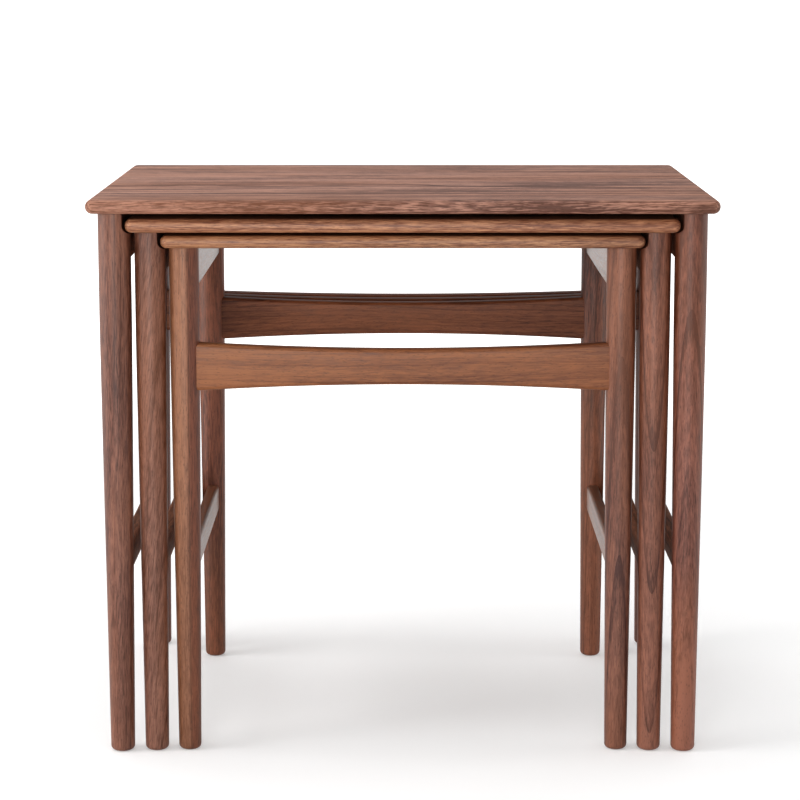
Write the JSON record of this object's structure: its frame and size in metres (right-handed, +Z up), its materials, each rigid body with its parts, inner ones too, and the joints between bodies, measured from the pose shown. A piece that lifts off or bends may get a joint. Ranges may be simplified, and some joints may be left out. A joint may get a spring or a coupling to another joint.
{
  "type": "nesting tables",
  "caption": "Side tables in dark solid wood with round tapered legs and waisted rails, nested one under the other and sliding out to the front.",
  "frame": {"origin": "on the floor, under the middle of the large table's top, which is the middle of the whole nest's box", "axes": "+Z up; +X to the right as seen from the front, along the tops' long side; +Y to the back, so the open front that the smaller tables slide out of faces -Y"},
  "size_m": [0.58, 0.415, 0.523],
  "materials": {
    "large_top_wood": "solid walnut, planed, satin oil",
    "medium_top_wood": "solid walnut, planed, satin oil, lighter board",
    "small_top_wood": "solid walnut, planed, satin oil, lighter board",
    "leg_wood": "solid walnut, turned, satin oil",
    "rail_wood": "solid walnut, shaped and sanded, satin oil",
    "side_rail_wood": "solid walnut, planed, satin oil",
    "screw_steel": "zinc-plated steel"
  },
  "bodies": {
    "large_table": {"large_front_left_leg": "leg_wood", "large_back_left_leg": "leg_wood", "large_left_apron": "side_rail_wood", "large_left_stretcher": "side_rail_wood", "large_left_front_screw": "screw_steel", "large_left_back_screw": "screw_steel", "large_front_right_leg": "leg_wood", "large_back_right_leg": "leg_wood", "large_right_apron": "side_rail_wood", "large_right_stretcher": "side_rail_wood", "large_right_front_screw": "screw_steel", "large_right_back_screw": "screw_steel", "large_top": "large_top_wood", "large_back_rail": "rail_wood"},
    "medium_table": {"medium_front_left_leg": "leg_wood", "medium_back_left_leg": "leg_wood", "medium_left_apron": "side_rail_wood", "medium_left_stretcher": "side_rail_wood", "medium_left_front_screw": "screw_steel", "medium_left_back_screw": "screw_steel", "medium_front_right_leg": "leg_wood", "medium_back_right_leg": "leg_wood", "medium_right_apron": "side_rail_wood", "medium_right_stretcher": "side_rail_wood", "medium_right_front_screw": "screw_steel", "medium_right_back_screw": "screw_steel", "medium_top": "medium_top_wood", "medium_back_rail": "rail_wood"},
    "small_table": {"small_front_left_leg": "leg_wood", "small_back_left_leg": "leg_wood", "small_left_apron": "side_rail_wood", "small_left_stretcher": "side_rail_wood", "small_left_front_screw": "screw_steel", "small_left_back_screw": "screw_steel", "small_front_right_leg": "leg_wood", "small_back_right_leg": "leg_wood", "small_right_apron": "side_rail_wood", "small_right_stretcher": "side_rail_wood", "small_right_front_screw": "screw_steel", "small_right_back_screw": "screw_steel", "small_top": "small_top_wood", "small_back_rail": "rail_wood", "small_front_rail": "rail_wood"}
  },
  "joints": [
    {"name": "medium_table_slide", "type": "slide", "parent": "large_table", "child": "medium_table", "axis": [0, -1, 0], "range_m": [0, 0.45]},
    {"name": "small_table_slide", "type": "slide", "parent": "medium_table", "child": "small_table", "axis": [0, -1, 0], "range_m": [0, 0.42]}
  ]
}
